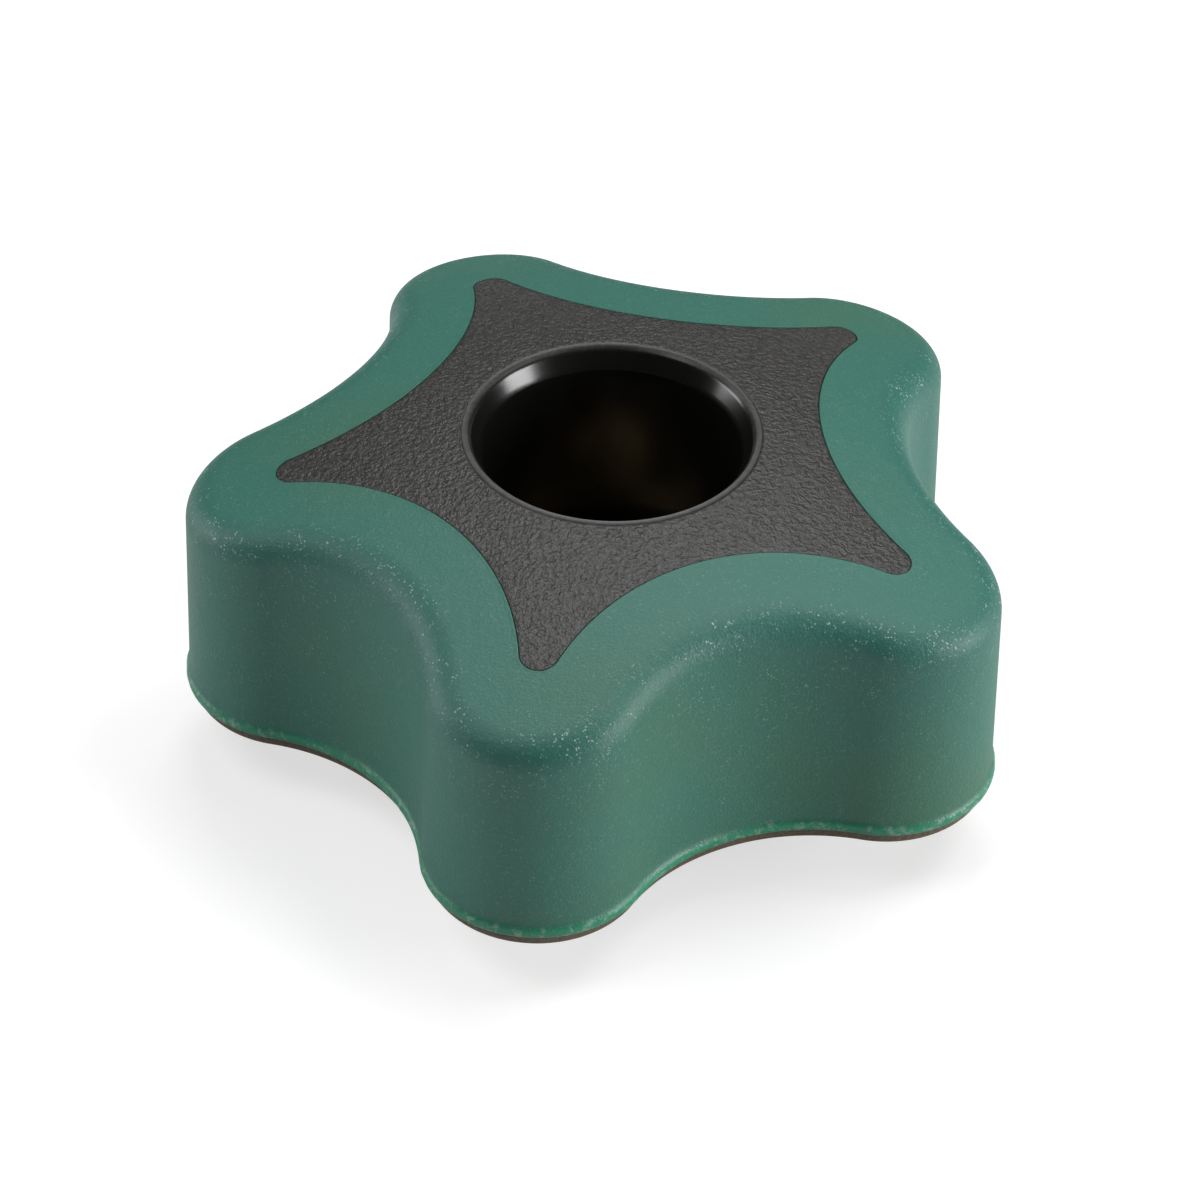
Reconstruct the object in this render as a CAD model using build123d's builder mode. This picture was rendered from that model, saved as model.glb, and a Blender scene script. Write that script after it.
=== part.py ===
"""Five-lobed star knob: a rigid moulded core, a soft grip moulded over it and a threaded insert.

Units are millimetres, +Z is up. The origin is on the knob's axis, on the underside of the hub,
which is what the knob clamps and rests on. One lobe points along -Y.
"""
import os
from math import asin, atan2, cos, degrees, radians, sin, sqrt

from build123d import *

# ---- Driving dimensions ------------------------------------------------------------------
lobe_count = 5
first_lobe_angle = -90

overall_height = 25.4          # hub underside to the lip of the well
wall_height = 20.0             # foot of the grip to the lip of the well
wall_draft = 1.5               # degrees, narrower towards the top

lobe_reach = 30.0              # axis to the end of a lobe, at the foot of the grip
lobe_radius = 7.8
valley_reach = 21.5            # axis to the bottom of a valley, at the foot of the grip

dome_radius = 93.0             # the top is a shallow spherical dome
shoulder_radius = 2.4          # round between the dome and the wall

grip_thickness = 1.8
bead_proud = 0.25              # lip that runs round the foot of the grip
bead_height = 0.9
bead_chamfer = 0.3

star_tip_reach = 23.25         # the star of the core that shows in the top
star_tip_radius = 1.35
star_valley_reach = 14.65

flange_inset = 0.3             # rigid flange under the foot of the grip
flange_height = 1.1
flange_chamfer = 0.35
core_wall = 2.2
roof_thickness = 2.4

lip_radius = 10.0              # the well in the top, with a rounded lip and a lead-in cone
lip_round = 0.25
lead_in_depth = 1.5
well_radius = 9.1

hub_wall = 2.4
hub_chamfer = 0.6
valley_rib_thickness = 1.8
lobe_rib_thickness = 1.5
rib_setback = 1.0              # ribs stop this far above the flange's underside

insert_across_flats = 12.7
insert_length = 9.5
insert_groove_depth = 0.6
insert_groove_width = 2.0
thread_minor_radius = 3.25     # 5/16-18 thread, modelled at its minor diameter

# ---- Sizes worked out from them ----------------------------------------------------------
lobe_pitch = 360 / lobe_count
foot_z = overall_height - wall_height
flange_z = foot_z - flange_height
dome_centre_z = overall_height - sqrt(dome_radius**2 - lip_radius**2)
well_floor_z = insert_length
hub_radius = well_radius + hub_wall
rib_z = flange_z + rib_setback
above_top = overall_height + 5
beyond_lobes = lobe_reach + 5


def tangent_outline(tip_reach, tip_radius, outline_valley_reach):
    """Radii and centres of a closed outline of convex tip arcs tangent to concave valley arcs."""
    half_pitch = radians(lobe_pitch / 2)
    tip_centre = tip_reach - tip_radius
    span = 2 * tip_centre * outline_valley_reach * cos(half_pitch)
    rise = outline_valley_reach - tip_centre * cos(half_pitch) - tip_radius
    valley_radius = (tip_radius**2 - tip_centre**2 - outline_valley_reach**2 + span) / (2 * rise)
    valley_centre = outline_valley_reach + valley_radius
    along = valley_centre * cos(half_pitch) - tip_centre
    across = valley_centre * sin(half_pitch)
    return {
        "tip_radius": tip_radius,
        "tip_centre": tip_centre,
        "valley_radius": valley_radius,
        "valley_centre": valley_centre,
        "tip_half_angle": degrees(atan2(across, along)),
    }


def at_angle(radius, angle):
    """Point of the XY plane at a radius and an angle in degrees."""
    return (radius * cos(radians(angle)), radius * sin(radians(angle)))


def lobed_face(z, outline, inset):
    """Face at height z inside the outline moved in by inset."""
    tip_half = outline["tip_half_angle"]
    valley_half = tip_half - lobe_pitch / 2
    with BuildSketch(Plane.XY.offset(z)) as face:
        with BuildLine():
            for lobe in range(lobe_count):
                tip_angle = first_lobe_angle + lobe * lobe_pitch
                CenterArc(
                    at_angle(outline["tip_centre"], tip_angle),
                    outline["tip_radius"] - inset,
                    tip_angle - tip_half,
                    2 * tip_half,
                )
                valley_angle = tip_angle + lobe_pitch / 2
                CenterArc(
                    at_angle(outline["valley_centre"], valley_angle),
                    outline["valley_radius"] + inset,
                    valley_angle + 180 - valley_half,
                    2 * valley_half,
                )
        make_face()
    return face.sketch


def cut_to_dome(drop):
    """Keep only what lies under the dome, lowered by drop, in the part builder that is open."""
    radius = dome_radius - drop
    edge_z = dome_centre_z + sqrt(radius**2 - beyond_lobes**2)
    edge_angle = degrees(asin(beyond_lobes / radius))
    with BuildSketch(Plane.XZ) as section:
        with BuildLine():
            CenterArc((0, dome_centre_z), radius, 90 - edge_angle, edge_angle)
            Polyline(
                (beyond_lobes, edge_z),
                (beyond_lobes, 0),
                (0, 0),
                (0, dome_centre_z + radius),
            )
        make_face()
    revolve(section.sketch, axis=Axis.Z, mode=Mode.INTERSECT)


wall_outline = tangent_outline(lobe_reach, lobe_radius, valley_reach)
star_outline = tangent_outline(star_tip_reach, star_tip_radius, star_valley_reach)

# ---- Outer form: drafted lobed wall, domed top, rolled shoulder ---------------------------
with BuildPart() as outer_form:
    extrude(lobed_face(foot_z, wall_outline, 0), amount=above_top - foot_z, taper=wall_draft)
    cut_to_dome(0)
    fillet(outer_form.faces().filter_by(GeomType.SPHERE).edges(), radius=shoulder_radius)

# ---- Inside of the grip: the core's body and the star that reaches the dome ---------------
with BuildPart() as core_form:
    extrude(
        lobed_face(foot_z, wall_outline, grip_thickness),
        amount=above_top - foot_z,
        taper=wall_draft,
    )
    cut_to_dome(grip_thickness)

with BuildPart() as star_form:
    extrude(lobed_face(well_floor_z, star_outline, 0), amount=above_top - well_floor_z)
    cut_to_dome(0)

# ---- Insert: hexagonal bush with a retaining groove, bored right through ------------------
with BuildPart() as insert_blank:
    with BuildSketch(Plane.XY):
        RegularPolygon(insert_across_flats / 2, 6, major_radius=False)
    extrude(amount=insert_length)
    with BuildSketch(Plane.XY.offset((insert_length - insert_groove_width) / 2)):
        Circle(insert_across_flats)
        Circle(insert_across_flats / 2 - insert_groove_depth, mode=Mode.SUBTRACT)
    extrude(amount=insert_groove_width, mode=Mode.SUBTRACT)

with BuildPart() as threaded_insert:
    add(insert_blank.part)
    Hole(thread_minor_radius)
threaded_insert.part.label = "threaded_insert"

# ---- Core: star-topped body, flange, well, hub and a cored-out, ribbed underside ----------
with BuildPart() as flange_form:
    extrude(lobed_face(flange_z, wall_outline, flange_inset), amount=flange_height)
    chamfer(flange_form.faces().sort_by(Axis.Z)[0].edges(), length=flange_chamfer)

with BuildPart() as hub_form:
    with BuildSketch(Plane.XY):
        Circle(hub_radius)
    extrude(amount=overall_height - lead_in_depth)
    chamfer(hub_form.faces().sort_by(Axis.Z)[0].edges(), length=hub_chamfer)

with BuildPart() as pockets:
    extrude(
        lobed_face(flange_z, wall_outline, grip_thickness + core_wall),
        amount=above_top - flange_z,
        taper=wall_draft,
    )
    cut_to_dome(grip_thickness + roof_thickness)
    add(hub_form.part, mode=Mode.SUBTRACT)
    with BuildSketch(Plane.XY.offset(rib_z)):
        with PolarLocations(0, lobe_count, start_angle=first_lobe_angle):
            Rectangle(lobe_reach, lobe_rib_thickness, align=(Align.MIN, Align.CENTER))
        with PolarLocations(0, lobe_count, start_angle=first_lobe_angle + lobe_pitch / 2):
            Rectangle(lobe_reach, valley_rib_thickness, align=(Align.MIN, Align.CENTER))
    extrude(amount=above_top - rib_z, mode=Mode.SUBTRACT)

with BuildPart() as well_form:
    with BuildSketch(Plane.XZ):
        with BuildLine():
            CenterArc((lip_radius, overall_height - lip_round), lip_round, 90, 90)
            Polyline(
                (lip_radius, overall_height),
                (lip_radius, above_top),
                (0, above_top),
                (0, well_floor_z),
                (well_radius, well_floor_z),
                (well_radius, overall_height - lead_in_depth),
                (lip_radius - lip_round, overall_height - lip_round),
            )
        make_face()
    revolve(axis=Axis.Z)

with BuildPart() as core:
    add(core_form.part)
    add(star_form.part)
    add(flange_form.part)
    add(pockets.part, mode=Mode.SUBTRACT)
    add(hub_form.part)
    add(well_form.part, mode=Mode.SUBTRACT)
    add(insert_blank.part, mode=Mode.SUBTRACT)
core.part.label = "core"

# ---- Grip: soft skin over the core, open at the star, with a bead round its foot ----------
with BuildPart() as bead_form:
    extrude(lobed_face(foot_z, wall_outline, -bead_proud), amount=bead_height)
    chamfer(bead_form.faces().sort_by(Axis.Z)[-1].edges(), length=bead_chamfer)

with BuildPart() as grip:
    add(outer_form.part)
    add(bead_form.part)
    add(core_form.part, mode=Mode.SUBTRACT)
    add(star_form.part, mode=Mode.SUBTRACT)
grip.part.label = "grip"

os.makedirs("parts", exist_ok=True)
for piece in (core, grip, threaded_insert):
    export_step(piece.part, f"parts/{piece.part.label}.step")
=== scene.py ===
import math

import bpy
import numpy as np
from mathutils import Matrix, Vector


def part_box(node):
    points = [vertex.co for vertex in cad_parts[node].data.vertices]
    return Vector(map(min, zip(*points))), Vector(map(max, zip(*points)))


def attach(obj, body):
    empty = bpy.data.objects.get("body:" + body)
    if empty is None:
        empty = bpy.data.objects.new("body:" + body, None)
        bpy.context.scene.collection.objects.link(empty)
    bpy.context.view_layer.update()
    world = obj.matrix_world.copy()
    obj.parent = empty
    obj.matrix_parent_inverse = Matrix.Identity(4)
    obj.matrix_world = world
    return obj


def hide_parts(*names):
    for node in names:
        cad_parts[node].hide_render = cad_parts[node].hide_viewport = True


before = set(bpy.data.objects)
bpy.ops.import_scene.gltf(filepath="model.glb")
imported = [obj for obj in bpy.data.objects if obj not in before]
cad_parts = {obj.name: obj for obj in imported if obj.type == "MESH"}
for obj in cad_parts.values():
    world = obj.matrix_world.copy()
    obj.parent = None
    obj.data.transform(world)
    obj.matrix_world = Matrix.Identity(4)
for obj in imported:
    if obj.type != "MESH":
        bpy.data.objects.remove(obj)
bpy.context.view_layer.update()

mm = 0.001
settleRounds = 12                      # rounds that a height on the dome needs to settle
sharpAngle = math.radians(38)          # edges steeper than this stay crisp

# what every piece shares: the knob's outlines and its levels
lobes = 5
pitch = 2 * math.pi / lobes
firstLobe = -math.pi / 2
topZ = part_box("core")[1].z             # lip of the well
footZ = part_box("grip")[0].z            # foot of the grip
wallDraft = math.radians(1.5)
domeRadius = 93 * mm
lipRadius = 10 * mm
domeCentreZ = topZ - math.sqrt(domeRadius**2 - lipRadius**2)


def tangentOutline(tipReach, tipRadius, valleyReach):
    # convex tip arcs tangent to concave valley arcs
    c, s = math.cos(pitch / 2), math.sin(pitch / 2)
    tipCentre = tipReach - tipRadius
    top = tipRadius**2 - tipCentre**2 - valleyReach**2 + 2 * tipCentre * valleyReach * c
    valleyRadius = top / (2 * (valleyReach - tipCentre * c - tipRadius))
    valleyCentre = valleyReach + valleyRadius
    half = math.atan2(valleyCentre * s, valleyCentre * c - tipCentre)
    return {"tipRadius": tipRadius, "tipCentre": tipCentre, "valleyRadius": valleyRadius,
            "valleyCentre": valleyCentre, "tipHalf": half}


wallOutline = tangentOutline(tipReach=30 * mm, tipRadius=7.8 * mm, valleyReach=21.5 * mm)
starOutline = tangentOutline(tipReach=23.25 * mm, tipRadius=1.35 * mm, valleyReach=14.65 * mm)


def columnsOf(outline, tipSteps, valleySteps):
    # arc centre, direction, radius and sign of each column, counter-clockwise from the first lobe
    centre, direction, radius, sign = [], [], [], []
    tipHalf = outline["tipHalf"]
    valleyHalf = tipHalf - pitch / 2
    for lobe in range(lobes):
        a = firstLobe + lobe * pitch
        for t in np.arange(tipSteps) / tipSteps:
            b = a - tipHalf + 2 * tipHalf * t
            centre.append((outline["tipCentre"] * math.cos(a), outline["tipCentre"] * math.sin(a)))
            direction.append((math.cos(b), math.sin(b)))
            radius.append(outline["tipRadius"])
            sign.append(1.0)
        v = a + pitch / 2
        for t in np.arange(valleySteps) / valleySteps:
            b = v + math.pi + valleyHalf - 2 * valleyHalf * t
            centre.append((outline["valleyCentre"] * math.cos(v),
                           outline["valleyCentre"] * math.sin(v)))
            direction.append((math.cos(b), math.sin(b)))
            radius.append(outline["valleyRadius"])
            sign.append(-1.0)
    return {"centre": np.array(centre), "direction": np.array(direction),
            "radius": np.array(radius), "sign": np.array(sign)}


def along(columns, inset):
    # points of the outline moved in by inset (a number or one for each column)
    reach = columns["radius"] - columns["sign"] * inset
    return columns["centre"] + columns["direction"] * reach[:, None]


def outward(columns):
    return columns["direction"] * columns["sign"][:, None]


def domeZ(xy, drop=0.0):
    return domeCentreZ + np.sqrt((domeRadius - drop)**2 - (xy**2).sum(1))


def level(xy, z):
    return np.c_[xy, np.full(len(xy), z) if np.isscalar(z) else z]


def rolledEdge(columns, inset, drop, ball, steps, startZ):
    # rows of a rolling ball between the dome and the drafted wall, from the dome down
    dome = domeRadius - drop
    z = np.full(len(columns["radius"]), topZ - 3 * mm)
    for _ in range(settleRounds):
        moved = inset + (z - startZ) * math.tan(wallDraft) + ball / math.cos(wallDraft)
        xy = along(columns, moved)
        z = domeCentreZ + np.sqrt((dome - ball)**2 - (xy**2).sum(1))
    middle = level(xy, z)
    up = middle - np.array([0, 0, domeCentreZ])
    up /= np.linalg.norm(up, axis=1)[:, None]
    out = level(outward(columns) * math.cos(wallDraft), math.sin(wallDraft))
    angle = np.arccos(np.clip((up * out).sum(1), -1, 1))[:, None]
    rows = []
    for t in np.linspace(0, 1, steps):
        turn = (np.sin((1 - t) * angle) * up + np.sin(t * angle) * out) / np.sin(angle)
        rows.append(middle + ball * turn)
    return rows


def ringMesh(name, rows, extras=()):
    # a closed mesh from rows that go all the way round, the last joined to the first;
    # extras are further closed shells of points and faces
    n = len(rows[0])
    count = len(rows)
    verts = [tuple(v) for v in np.vstack(rows)]
    faces = []
    for r in range(count):
        a, b = r * n, ((r + 1) % count) * n
        for i in range(n):
            j = (i + 1) % n
            faces.append((a + i, b + i, b + j, a + j))
    for points, sides in extras:
        base = len(verts)
        verts += points
        faces += [tuple(base + k for k in side) for side in sides]
    mesh = bpy.data.meshes.new(name)
    mesh.from_pydata(verts, [], faces)
    mesh.update()
    return mesh


def quarterRound(radius, steps):
    # how far in and how far up each point of a rounded lower edge is, from its top
    for turn in np.linspace(0, math.pi / 2, steps):
        yield radius * (1 - math.cos(turn)), radius * (1 - math.sin(turn))


def markRows(mesh, name, values):
    # one number for each row, kept on the points for the material to read
    store = mesh.attributes.new(name, "FLOAT", "POINT")
    flat = np.zeros(len(mesh.vertices), np.float32)
    rows = np.concatenate([np.broadcast_to(v, columnCount) for v in values])
    flat[:len(rows)] = rows
    store.data.foreach_set("value", flat)


def makePiece(name, mesh, material, node):
    # put a finished mesh into the scene in place of its plain solid
    mesh.polygons.foreach_set("use_smooth", [True] * len(mesh.polygons))
    mesh.set_sharp_from_angle(angle=sharpAngle)
    piece = bpy.data.objects.new(name, mesh)
    bpy.context.scene.collection.objects.link(piece)
    piece.data.materials.append(material)
    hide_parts(node)
    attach(piece, "root")
    return piece


def wobble(count, seed, waves, size):
    # a closed, slightly uneven line, between 0 and size
    rng = np.random.RandomState(seed)
    turn = np.linspace(0, 2 * math.pi, count, endpoint=False)
    line = np.zeros(count)
    for wave in waves:
        line += rng.uniform(0.5, 1) * np.sin(wave * turn + rng.uniform(0, 2 * math.pi))
    line -= line.min()
    return size * line / line.max()


def newMaterial(name):
    # a material with one shader, ready for its colour and relief
    material = bpy.data.materials.new(name)
    material.use_nodes = True
    nodes = material.node_tree.nodes
    nodes.clear()
    out = nodes.new("ShaderNodeOutputMaterial")
    shader = nodes.new("ShaderNodeBsdfPrincipled")
    material.node_tree.links.new(shader.outputs[0], out.inputs[0])
    return material, shader


def addNode(material, kind, links=None, **settings):
    # a node with its settings, and links given as socket: value or output
    node = material.node_tree.nodes.new("ShaderNode" + kind)
    for key, value in settings.items():
        setattr(node, key, value)
    for key, value in (links or {}).items():
        if isinstance(value, bpy.types.NodeSocket):
            material.node_tree.links.new(value, node.inputs[key])
        else:
            node.inputs[key].default_value = value
    return node


def join(material, output, shader, socket):
    material.node_tree.links.new(output, shader.inputs[socket])


def mathOf(material, operation, a, b=0.0):
    return addNode(material, "Math", {0: a, 1: b}, operation=operation).outputs[0]


def ramp(material, value, low, high, fromValue=0.0, toValue=1.0):
    node = addNode(material, "MapRange", {"Value": value, "From Min": low, "From Max": high,
                                          "To Min": fromValue, "To Max": toValue},
                   interpolation_type="SMOOTHSTEP")
    return node.outputs[0]


def noise(material, where, scale, detail=2.0, roughness=0.5):
    node = addNode(material, "TexNoise", {"Vector": where, "Scale": scale, "Detail": detail,
                                          "Roughness": roughness})
    return node.outputs["Fac"]


def mixColour(material, share, a, b):
    return addNode(material, "Mix", {0: share, 6: a, 7: b}, data_type="RGBA").outputs[2]


def attribute(material, name):
    node = addNode(material, "Attribute", attribute_name=name, attribute_type="GEOMETRY")
    return node.outputs["Fac"]


def objectPlace(material):
    return addNode(material, "TexCoord").outputs["Object"]


def fromAxis(material, where):
    # distance from the knob's axis, and height
    parts = addNode(material, "SeparateXYZ", {0: where})
    flat = addNode(material, "CombineXYZ", {0: parts.outputs[0], 1: parts.outputs[1]}).outputs[0]
    radius = addNode(material, "VectorMath", {0: flat}, operation="LENGTH").outputs["Value"]
    return radius, parts.outputs[2]


def addRelief(material, shader, height, strength, depth):
    bump = addNode(material, "Bump", {"Strength": strength, "Distance": depth, "Height": height})
    join(material, bump.outputs[0], shader, "Normal")


# soft green grip; scales are in features per metre
gripLook = {
    "green": (0.026, 0.140, 0.104, 1),
    "olive": (0.045, 0.130, 0.066, 1),
    "deep": (0.012, 0.100, 0.082, 1),
    "bead": (0.008, 0.200, 0.105, 1),
    "beadGlint": (0.42, 0.50, 0.45, 1),
    "speck": (0.50, 0.58, 0.50, 1),
    "pale": (0.080, 0.235, 0.180, 1),
    "roughness": 0.52,
    "beadRoughness": 0.36,
    "hueScale": 55.0,
    "cloudScale": 420.0,
    "grainScale": 5200.0,
    "dustScale": 5200.0,
    "dustPatchScale": 2600.0,
    "beadGlintScale": 1500.0,
    "oliveShare": 0.55,
    "shoulderShadeShare": 0.45,
    "beadShare": 0.9,
    "beadGlintShare": 0.32,
    "shoulderDust": 0.62,
    "dustAllOver": 0.16,
    "relief": 0.5,
    "grain": 0.10 * mm,
}


def softGreen():
    material, shader = newMaterial("soft_green")
    look = gripLook
    where = objectPlace(material)
    shoulder = attribute(material, "shoulder")
    bead = attribute(material, "bead")
    broad = noise(material, where, look["hueScale"], 2)
    cloud = noise(material, where, look["cloudScale"], 3, 0.6)
    fine = noise(material, where, look["grainScale"], 2, 0.7)
    olive = ramp(material, broad, 0.45, 0.75, 0.0, look["oliveShare"])
    colour = mixColour(material, olive, look["green"], look["olive"])
    # painted shade: the rolled shoulder and the top of the wall are painted darker
    shade = mathOf(material, "MULTIPLY", shoulder, look["shoulderShadeShare"])
    colour = mixColour(material, shade, colour, look["deep"])
    # grain tone, darker in its low points, and painted glints, pale on its high points
    colour = mixColour(material, ramp(material, fine, 0.42, 0.62, 0.22, 0.0), colour, look["deep"])
    colour = mixColour(material, ramp(material, fine, 0.56, 0.80, 0.0, 0.35), colour, look["pale"])
    # the bead is painted a brighter emerald than the rest, a painted highlight where its lip faces up
    bright = mathOf(material, "MULTIPLY", bead, look["beadShare"])
    colour = mixColour(material, bright, colour, look["bead"])
    # dust, thickest where the hand rubs
    cells = addNode(material, "TexVoronoi", {"Vector": where, "Scale": look["dustScale"]})
    spots = ramp(material, cells.outputs["Distance"], 0.40, 0.22)
    few = ramp(material, noise(material, where, look["dustPatchScale"], 2, 0.6), 0.50, 0.62)
    gather = ramp(material, cloud, 0.38, 0.66, 0.15, 1.0)
    onShoulder = mathOf(material, "MULTIPLY", shoulder, look["shoulderDust"])
    most = mathOf(material, "ADD", onShoulder, look["dustAllOver"])
    speck = mathOf(material, "MULTIPLY", spots, few)
    speck = mathOf(material, "MULTIPLY", speck, mathOf(material, "MULTIPLY", most, gather))
    colour = mixColour(material, speck, colour, look["speck"])
    # painted highlights on the bead: ragged whitish patches
    ragged = ramp(material, noise(material, where, look["beadGlintScale"], 3, 0.7), 0.50, 0.66)
    beadGlint = mathOf(material, "MULTIPLY", bead, ragged)
    beadGlint = mathOf(material, "MULTIPLY", beadGlint, look["beadGlintShare"])
    colour = mixColour(material, beadGlint, colour, look["beadGlint"])
    join(material, colour, shader, "Base Color")
    rough = ramp(material, bead, 0, 1, look["roughness"], look["beadRoughness"])
    join(material, rough, shader, "Roughness")
    shader.inputs["Specular IOR Level"].default_value = 0.5
    height = mathOf(material, "ADD", fine, mathOf(material, "MULTIPLY", cloud, 1.5))
    addRelief(material, shader, height, look["relief"], look["grain"])
    return material


# the grip: a soft skin with a window for the star, a rolled shoulder and a bead round its foot
gripShape = {
    "thickness": 1.8 * mm,
    "shoulder": 2.4 * mm,
    "beadProud": 0.25 * mm,
    "beadHeight": 0.9 * mm,
    "beadUneven": 0.05 * mm,
    "beadLift": 0.09 * mm,             # how far the bead's upper edge wanders
    "beadTop": 1.12,                   # where the flare starts, in bead heights
    # out from the star's outline and up from the dome, in mm
    "seamLip": ((0.0, -0.5), (0.0, -0.08), (0.015, -0.01), (0.05, 0.02), (0.12, 0.025), (0.22, 0.006)),
    "seamWidth": 0.34 * mm,
    # shares of the bead's depth and height, from its top
    "beadProfile": ((0.10, 0.98), (0.42, 0.90), (0.76, 0.78), (0.95, 0.62), (1.0, 0.45),
                    (0.97, 0.28), (0.82, 0.13), (0.55, 0.04), (0.2, 0.0)),
    "tipSteps": 100,
    "valleySteps": 52,
    "topSteps": 20,
    "shoulderSteps": 15,
    "wallSteps": 26,
    "insideSteps": 8,
}
wallColumns = columnsOf(wallOutline, gripShape["tipSteps"], gripShape["valleySteps"])
starColumns = columnsOf(starOutline, gripShape["tipSteps"], gripShape["valleySteps"])
columnCount = len(wallColumns["radius"])


def wallRow(inset, z):
    # a row of the drafted wall
    moved = inset + (z - footZ) * math.tan(wallDraft)
    return level(along(wallColumns, moved), z)


def starRow(outset, drop, rise=0.0):
    # a row round the star, on the dome lowered by drop
    xy = along(starColumns, -outset)
    return level(xy, domeZ(xy, drop) + rise)


def bodyTop(shape):
    # edge where the lowered dome meets the wall inside the grip
    z = np.full(columnCount, topZ - 4 * mm)
    for _ in range(settleRounds):
        xy = along(wallColumns, shape["thickness"] + (z - footZ) * math.tan(wallDraft))
        z = domeZ(xy, shape["thickness"])
    return level(xy, z)


def makeGrip():
    shape = gripShape
    rows, shoulder, bead = [], [], []

    def put(row, shoulderMark=0.0, beadMark=0.0):
        rows.append(row)
        shoulder.append(shoulderMark)
        bead.append(beadMark)

    # edge of the window, with a fine lip standing up along the seam
    put(starRow(0, shape["thickness"]))
    for outset, rise in shape["seamLip"]:
        put(starRow(outset * mm, 0, rise * mm))
    start = starRow(shape["seamWidth"], 0)
    put(start)
    # the top and the rolled shoulder; their shoulder marks set the painted shade and the dust there
    shoulderLast = shape["shoulderSteps"] - 1
    rolled = rolledEdge(wallColumns, 0, 0, shape["shoulder"], shape["shoulderSteps"], footZ)
    for t in np.arange(1, shape["topSteps"]) / shape["topSteps"]:
        place = start + (rolled[0] - start) * t
        put(level(place[:, :2], domeZ(place[:, :2])), shoulderMark=max(0, t - 0.9) * 5)
    for i, row in enumerate(rolled):
        put(row, shoulderMark=math.sin(math.pi * (0.16 + 0.72 * i / shoulderLast)))
    # the wall, down to where the bead starts to flare
    top = rolled[-1][:, 2]
    beadTop = footZ + shape["beadTop"] * shape["beadHeight"]
    for t in np.arange(1, shape["wallSteps"] + 1) / shape["wallSteps"]:
        z = top + (beadTop - top) * t
        put(wallRow(0, z), shoulderMark=0.43 * (1 - t)**3)
    # the bead
    uneven = wobble(columnCount, 4, (3, 7, 16, 29, 47, 73, 101, 137), shape["beadUneven"])
    lift = wobble(columnCount, 9, (5, 9, 22, 37, 61, 90), shape["beadLift"])
    for proud, high in shape["beadProfile"]:
        out = shape["beadProud"] * proud - uneven * min(1.0, proud)
        z = footZ + shape["beadHeight"] * high - lift * math.sin(math.pi * high)
        put(level(along(wallColumns, -out), np.maximum(z, footZ)), beadMark=min(1.0, proud * 1.4))
    # underneath, and up inside over the core
    for inset in (0.15, 0.5, 1.1):
        put(level(along(wallColumns, inset * mm), footZ))
    inner = bodyTop(shape)
    inside = shape["insideSteps"]
    for t in np.arange(0, inside + 1) / inside:
        z = footZ + (inner[:, 2] - footZ) * t
        put(wallRow(shape["thickness"], z))
    last = starRow(0, shape["thickness"])
    for t in np.arange(1, inside) / inside:
        place = inner + (last - inner) * t
        put(level(place[:, :2], domeZ(place[:, :2], shape["thickness"])))

    mesh = ringMesh("grip_skin", rows)
    markRows(mesh, "shoulder", shoulder)
    markRows(mesh, "bead", bead)
    return makePiece("grip_skin", mesh, softGreen(), "grip")


makeGrip()
print("grip made")


# charcoal plastic of the core
coreLook = {
    "charcoal": (0.040, 0.039, 0.036, 1),
    "dark": (0.022, 0.021, 0.020, 1),
    "bore": (0.006, 0.006, 0.005, 1),
    "brown": (0.110, 0.075, 0.042, 1),
    "roughness": 0.40,
    "boreRoughness": 0.22,
    "grainScale": 2700.0,
    "pitScale": 7000.0,
    "patchScale": 90.0,
    "brownShare": 0.8,
    "relief": 1.0,
    "grain": 0.16 * mm,
}


def charcoalPlastic():
    material, shader = newMaterial("charcoal_plastic")
    look = coreLook
    where = objectPlace(material)
    radius, height = fromAxis(material, where)
    grained = ramp(material, radius, lipRadius + 0.35 * mm, lipRadius + 0.55 * mm)
    grain = noise(material, where, look["grainScale"], 2, 0.55)
    pits = noise(material, where, look["pitScale"], 1)
    patches = ramp(material, noise(material, where, look["patchScale"], 2), 0.3, 0.7, 0.0, 0.25)
    colour = mixColour(material, ramp(material, grain, 0.40, 0.62), look["dark"], look["charcoal"])
    colour = mixColour(material, patches, colour, look["dark"])
    # painted shade: the well inside the lip is painted near black
    inBore = ramp(material, radius, lipRadius + 0.05 * mm, lipRadius - 0.3 * mm)
    colour = mixColour(material, inBore, colour, look["bore"])
    # the edge and the underside of the flange are painted brown, a painted warm reflection
    below = ramp(material, height, footZ - 0.2 * mm, footZ - 0.45 * mm)
    flange = mathOf(material, "MULTIPLY", below, ramp(material, radius, 17 * mm, 19 * mm))
    warmReflection = mathOf(material, "MULTIPLY", flange, look["brownShare"])
    colour = mixColour(material, warmReflection, colour, look["brown"])
    join(material, colour, shader, "Base Color")
    rough = ramp(material, inBore, 0, 1, look["roughness"], look["boreRoughness"])
    join(material, rough, shader, "Roughness")
    relief = mathOf(material, "ADD", grain, mathOf(material, "MULTIPLY", pits, 0.25))
    relief = mathOf(material, "MULTIPLY", relief, grained)
    addRelief(material, shader, relief, look["relief"], look["grain"])
    return material


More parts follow.
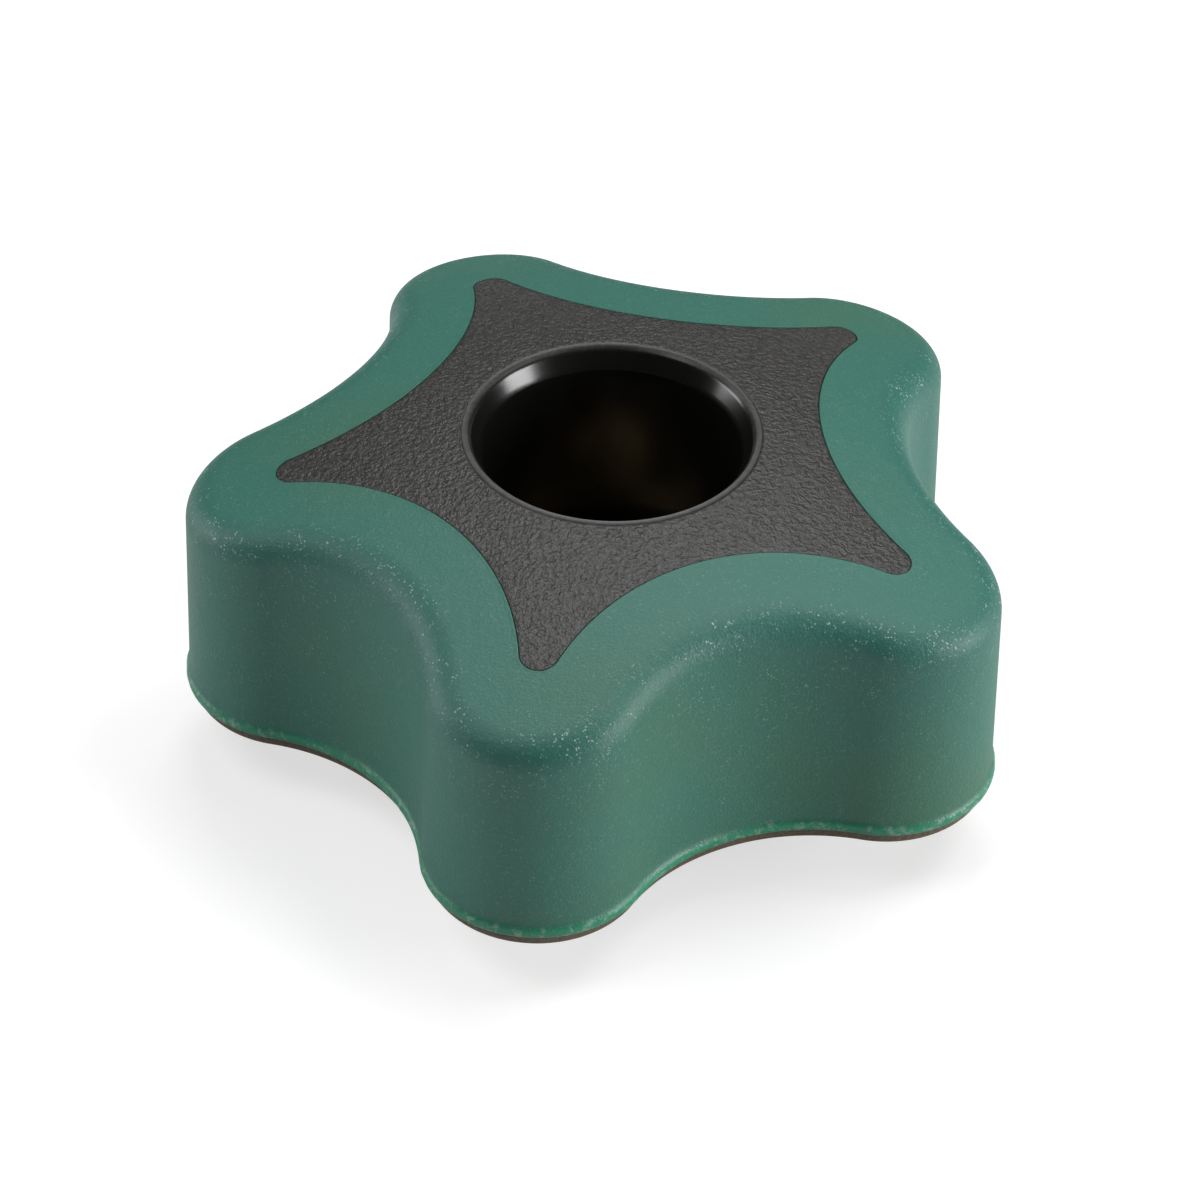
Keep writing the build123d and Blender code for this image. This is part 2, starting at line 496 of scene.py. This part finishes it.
# the core: star top, well, flange, and a cored-out, ribbed underside
coreShape = {
    "flangeInset": 0.3 * mm,
    "flangeHeight": 1.1 * mm,
    "flangeRound": 0.35 * mm,
    "wall": 2.2 * mm,
    "roof": 2.4 * mm,
    "lipSlope": 0.25 * mm,
    "leadIn": 1.5 * mm,
    "wellRadius": 9.1 * mm,
    "wellFloor": 9.5 * mm,
    "hubRadius": 11.5 * mm,
    "hubRound": 0.6 * mm,
    "lobeRib": 1.5 * mm,
    "valleyRib": 1.8 * mm,
    "ribSetback": 1.0 * mm,
    "ribRound": 0.3 * mm,
    "hexFlats": 12.7 * mm,
    # out from the lip and up from the dome, in mm
    "lipRing": ((0.08, 0.0), (0.30, 0.0), (0.36, 0.022), (0.44, 0.022), (0.50, 0.0)),
    # in from the star's outline and up from the dome, in mm
    "seamEdge": ((0.12, -0.006), (0.05, -0.025), (0.02, -0.08), (0.0, -0.6)),
    "seamStart": 0.30 * mm,
}


def circleRow(columns, radius, z):
    # a circle whose points follow the directions of the columns
    xy = along(columns, 0)
    xy = xy / np.linalg.norm(xy, axis=1)[:, None] * radius
    return level(xy, z)


def hexRow(columns, flats, z):
    # a hexagon whose points follow the directions of the columns
    xy = along(columns, 0)
    turn = np.arctan2(xy[:, 1], xy[:, 0])
    across = np.mod(turn, math.pi / 3) - math.pi / 6
    reach = flats / 2 / np.cos(across)
    return level(np.c_[np.cos(turn) * reach, np.sin(turn) * reach], z)


def ribShell(angle, thickness, shape):
    # one rib, rounded along its lower edge and set a little into the hub, the wall and the roof
    valley = abs(math.remainder(angle - firstLobe, pitch)) > 0.1
    reach = wallOutline["valleyCentre"] - wallOutline["valleyRadius"] if valley \
        else wallOutline["tipCentre"] + wallOutline["tipRadius"]
    near = shape["hubRadius"] - 0.3 * mm
    far = reach - gripShape["thickness"] - 0.6 * shape["wall"]
    low = footZ - shape["flangeHeight"] + shape["ribSetback"]
    half, soft = thickness / 2, shape["ribRound"]
    roofRadius = domeRadius - gripShape["thickness"] - 0.8 * shape["roof"]
    side = [(half, None)] + [(half - c, low + d) for c, d in quarterRound(soft, 4)]
    ring = [(-x, z) for x, z in side] + side[::-1]
    verts, faces = [], []
    stations = np.linspace(near, far, 13)
    for r in stations:
        roof = domeCentreZ + math.sqrt(roofRadius**2 - r**2)
        for aside, z in ring:
            x = r * math.cos(angle) - aside * math.sin(angle)
            y = r * math.sin(angle) + aside * math.cos(angle)
            verts.append((x, y, roof if z is None else z))
    n = len(ring)
    for s in range(len(stations) - 1):
        for i in range(n):
            j = (i + 1) % n
            faces.append((s * n + i, s * n + j, (s + 1) * n + j, (s + 1) * n + i))
    faces.append(tuple(reversed(range(n))))
    faces.append(tuple(range((len(stations) - 1) * n, len(stations) * n)))
    return verts, faces


def makeCore():
    shape = coreShape
    thickness = gripShape["thickness"]
    flangeZ = footZ - shape["flangeHeight"]
    rows = []
    # the lip's narrow slope and its ring, then the star out to its seam
    for turn in np.linspace(0, math.pi / 2, 6):
        back = shape["lipSlope"] * (1 - math.sin(turn))
        rows.append(circleRow(starColumns, lipRadius - back, topZ - back))
    for out, rise in shape["lipRing"]:
        ring = circleRow(starColumns, lipRadius + out * mm, 0)
        rows.append(level(ring[:, :2], domeZ(ring[:, :2]) + rise * mm))
    lip = rows[-1]
    edge = starRow(-shape["seamStart"], 0)
    for t in (0.01, 0.03, 0.06, 0.12, 0.2, 0.3, 0.4, 0.5, 0.6, 0.7, 0.8, 0.88, 0.94, 0.98, 1.0):
        place = lip + (edge - lip) * t
        rows.append(level(place[:, :2], domeZ(place[:, :2])))
    for inset, rise in shape["seamEdge"]:
        rows.append(starRow(-inset * mm, 0, rise * mm))
    # under the grip and down to the flange
    inner = bodyTop(gripShape)
    first = starRow(0, thickness)
    rows.append(first)
    inside = gripShape["insideSteps"]
    for t in np.arange(1, inside) / inside:
        place = first + (inner - first) * t
        rows.append(level(place[:, :2], domeZ(place[:, :2], thickness)))
    for t in np.arange(inside, -1, -1) / inside:
        rows.append(wallRow(thickness, footZ + (inner[:, 2] - footZ) * t))
    inset = shape["flangeInset"]
    rows.append(level(along(wallColumns, inset + 0.06 * mm), footZ))
    rows.append(level(along(wallColumns, inset), footZ - 0.06 * mm))
    for back, up in quarterRound(shape["flangeRound"], 5):
        rows.append(level(along(wallColumns, inset + back), flangeZ + up))
    # the ring underneath and the cavity
    cavity = thickness + shape["wall"]
    drop = thickness + shape["roof"]
    rows.append(level(along(wallColumns, cavity - 0.2 * mm), flangeZ))
    rows.append(level(along(wallColumns, cavity), flangeZ + 0.2 * mm))
    z = np.full(columnCount, topZ - 6 * mm)
    for _ in range(settleRounds):
        xy = along(wallColumns, cavity + (z - flangeZ) * math.tan(wallDraft))
        z = domeZ(xy, drop)
    roof = level(xy, z)
    for t in (0.2, 0.4, 0.6, 0.8, 0.9, 0.96):
        at = flangeZ + (roof[:, 2] - flangeZ) * t
        rows.append(level(along(wallColumns, cavity + (at - flangeZ) * math.tan(wallDraft)), at))
    hub = circleRow(wallColumns, shape["hubRadius"], 0)
    for t in (0.04, 0.12, 0.3, 0.5, 0.7, 0.9):
        place = roof + (hub - roof) * t
        rows.append(level(place[:, :2], domeZ(place[:, :2], drop)))
    hubTop = domeZ(hub[:, :2], drop)
    for t in (0.98, 0.8, 0.6, 0.4, 0.2, 0.1):
        rows.append(level(hub[:, :2], hubTop * t))
    # underside of the hub, the pocket for the insert and the well
    for back, up in quarterRound(shape["hubRound"], 6):
        rows.append(circleRow(wallColumns, shape["hubRadius"] - back, up))
    rows.append(hexRow(wallColumns, shape["hexFlats"] + 0.1 * mm, 0.0))
    rows.append(hexRow(wallColumns, shape["hexFlats"], 0.1 * mm))
    well, floorZ = shape["wellRadius"], shape["wellFloor"]
    rows.append(hexRow(starColumns, shape["hexFlats"], floorZ / 2))
    rows.append(hexRow(starColumns, shape["hexFlats"], floorZ))
    rows.append(circleRow(starColumns, well - 0.4 * mm, floorZ))
    rows.append(circleRow(starColumns, well, floorZ + 0.4 * mm))
    coneFoot = topZ - shape["leadIn"]
    for t in (0.2, 0.4, 0.6, 0.8, 0.95):
        rows.append(circleRow(starColumns, well, floorZ + (coneFoot - floorZ) * t))
    rows.append(circleRow(starColumns, well, coneFoot - 0.05 * mm))
    coneTop = lipRadius - shape["lipSlope"]
    for t in (0.04, 0.3, 0.6, 0.9):
        rows.append(circleRow(starColumns, well + (coneTop - well) * t,
                              coneFoot + (topZ - shape["lipSlope"] - coneFoot) * t))
    ribs = []
    for k in range(lobes):
        ribs.append(ribShell(firstLobe + k * pitch, shape["lobeRib"], shape))
        ribs.append(ribShell(firstLobe + (k + 0.5) * pitch, shape["valleyRib"], shape))
    mesh = ringMesh("core_body", rows, ribs)
    return makePiece("core_body", mesh, charcoalPlastic(), "core")


makeCore()
print("core made")

# dull brass of the insert
brassLook = {
    "brass": (0.34, 0.24, 0.11, 1),
    "dull": (0.20, 0.15, 0.08, 1),
    "roughness": 0.42,
    "dullRoughness": 0.5,
    "patchScale": 400.0,
    "toolMarks": 0.16 * mm,            # from one turning line to the next
    "relief": 0.4,
    "turning": 0.012 * mm,
}


def turnedBrass():
    material, shader = newMaterial("turned_brass")
    look = brassLook
    where = objectPlace(material)
    radius, _ = fromAxis(material, where)
    waves = mathOf(material, "MULTIPLY", radius, 2 * math.pi / look["toolMarks"])
    patches = ramp(material, noise(material, where, look["patchScale"], 3, 0.6), 0.45, 0.75)
    join(material, mixColour(material, patches, look["brass"], look["dull"]), shader, "Base Color")
    rough = ramp(material, patches, 0, 1, look["roughness"], look["dullRoughness"])
    join(material, rough, shader, "Roughness")
    shader.inputs["Metallic"].default_value = 1.0
    addRelief(material, shader, mathOf(material, "SINE", waves), look["relief"], look["turning"])
    return material


# the insert: a hexagon bar tapped right through
insertShape = {
    "flats": 12.7 * mm,
    "length": 9.5 * mm,
    "minor": 3.25 * mm,
    "depth": 0.72 * mm,
    "threadPitch": 25.4 * mm / 18,
    "rowsPerTurn": 16,
    "mouth": 0.25 * mm,
    "edge": 0.15 * mm,
    "columns": 144,
}


def makeInsert():
    shape = insertShape
    length, edge = shape["length"], shape["edge"]
    turn = np.linspace(0, 2 * math.pi, shape["columns"], endpoint=False)
    unit = np.c_[np.cos(turn), np.sin(turn)]
    across = np.mod(turn, math.pi / 3) - math.pi / 6
    hexagon = unit * (shape["flats"] / 2 / np.cos(across))[:, None]
    flatShare = 1 - 2 * edge / shape["flats"]

    def boreRow(z):
        # a V thread with narrow flats at crest and root, opened out at both mouths
        share = np.mod(z / shape["threadPitch"] - turn / (2 * math.pi), 1.0)
        rise = np.clip(1.25 - 2.9 * np.abs(share - 0.5), 0, 1)
        reach = shape["minor"] + shape["depth"] * rise
        mouth = shape["minor"] + shape["depth"] + shape["mouth"]
        reach = np.maximum(reach, mouth - min(z, length - z))
        return level(unit * reach[:, None], z)

    rows = [boreRow(length)]
    rows.append(level(hexagon * flatShare, length))
    rows.append(level(hexagon, length - edge))
    rows.append(level(hexagon, edge))
    rows.append(level(hexagon * flatShare, 0.0))
    count = int(shape["rowsPerTurn"] * length / shape["threadPitch"])
    for z in np.linspace(0, length, count, endpoint=False):
        rows.append(boreRow(z))
    mesh = ringMesh("insert_body", rows)
    return makePiece("insert_body", mesh, turnedBrass(), "threaded_insert")


makeInsert()
print("insert made")

# lamps: turn from the front and height in degrees, and watts
lampLook = {
    "right": (90, 12, 3.15),
    "left": (270, 12, 1.35),
    "back_right": (120, 62, 1.45),
    "back": (190, 58, 1.30),
    "front_left": (300, 60, 1.05),
}
lampAim = Vector((0, 0, 15 * mm))
lampDistance = 0.6
lampSize = 0.26


def makeLamps():
    for name, (turn, height, watts) in lampLook.items():
        turn, height = math.radians(turn), math.radians(height)
        data = bpy.data.lights.new(name, "AREA")
        data.shape = "SQUARE"
        data.size = lampSize
        data.energy = watts
        light = bpy.data.objects.new(name, data)
        bpy.context.scene.collection.objects.link(light)
        across = math.cos(height)
        away = Vector((math.sin(turn) * across, -math.cos(turn) * across, math.sin(height)))
        light.location = lampAim + away * lampDistance
        light.rotation_euler = (-away).to_track_quat("-Z", "Y").to_euler()


def makeWorld(strength):
    # a dim surround that looks white where it is seen directly or through something clear
    world = bpy.data.worlds.new("studio")
    bpy.context.scene.world = world
    world.use_nodes = True
    world.node_tree.nodes.clear()
    out = addNode(world, "OutputWorld")
    path = addNode(world, "LightPath")
    camera, through = path.outputs["Is Camera Ray"], path.outputs["Is Transmission Ray"]
    seen = mathOf(world, "MAXIMUM", camera, through)
    power = addNode(world, "MapRange", {"Value": seen, "To Min": strength, "To Max": 1.0}).outputs[0]
    plain = addNode(world, "Background", {"Color": (1, 1, 1, 1), "Strength": power}).outputs[0]
    join(world, plain, out, 0)


# the floor's own grey, its grey for the camera, the light it gives off and half its width
floorLook = {"paper": 0.8, "seen": 0.467, "lift": 0.635, "size": 3.0}


def makeFloor():
    # a white floor that keeps the knob's shadow; from below it lets the knob show
    look, size = floorLook, floorLook["size"]
    mesh = bpy.data.meshes.new("floor")
    corners = [(-size, -size, 0), (size, -size, 0), (size, size, 0), (-size, size, 0)]
    mesh.from_pydata(corners, [], [(0, 1, 2, 3)])
    floor = bpy.data.objects.new("floor", mesh)
    bpy.context.scene.collection.objects.link(floor)
    material, shader = newMaterial("floor_white")
    nodes = material.node_tree.nodes
    nodes.remove(shader)
    camera = addNode(material, "LightPath").outputs["Is Camera Ray"]
    shade = ramp(material, camera, 0, 1, look["paper"], look["seen"])
    grey = addNode(material, "CombineColor", {0: shade, 1: shade, 2: shade}).outputs[0]
    paper = addNode(material, "BsdfDiffuse", {0: grey}).outputs[0]
    lift = mathOf(material, "MULTIPLY", camera, look["lift"])
    glow = addNode(material, "Emission", {1: lift}).outputs[0]
    both = addNode(material, "AddShader", {0: paper, 1: glow}).outputs[0]
    clear = addNode(material, "BsdfTransparent").outputs[0]
    below = addNode(material, "NewGeometry").outputs["Backfacing"]
    mixed = addNode(material, "MixShader", {0: below, 1: both, 2: clear}).outputs[0]
    join(material, mixed, nodes["Material Output"], 0)
    mesh.materials.append(material)


makeLamps()
makeWorld(0.03)
makeFloor()

# the camera, placed from the middle of the lip
cameraView = {
    "azimuth": 11.82,
    "elevation": 39.60,
    "roll": 1.167,
    "distance": 285.5 * mm,
    "aside": -0.831 * mm,
    "above": -11.671 * mm,
    "lens": 124.0,
}


def makeCamera():
    view = cameraView
    az, el, roll = (math.radians(view[k]) for k in ("azimuth", "elevation", "roll"))
    back = Vector((math.sin(az) * math.cos(el), -math.cos(az) * math.cos(el), math.sin(el)))
    right = Vector((math.cos(az), math.sin(az), 0))
    up = back.cross(right)
    camRight = right * math.cos(roll) + up * math.sin(roll)
    camUp = up * math.cos(roll) - right * math.sin(roll)
    data = bpy.data.cameras.new("camera")
    data.sensor_width = 36.0
    data.lens = view["lens"]
    camera = bpy.data.objects.new("camera", data)
    bpy.context.scene.collection.objects.link(camera)
    place = Vector((0, 0, topZ)) + back * view["distance"]
    place += camRight * view["aside"] + camUp * view["above"]
    turned = Matrix((camRight, camUp, back)).transposed().to_4x4()
    camera.matrix_world = Matrix.Translation(place) @ turned
    bpy.context.scene.camera = camera


makeCamera()
bpy.context.scene.view_settings.view_transform = "Standard"
print("stage made")
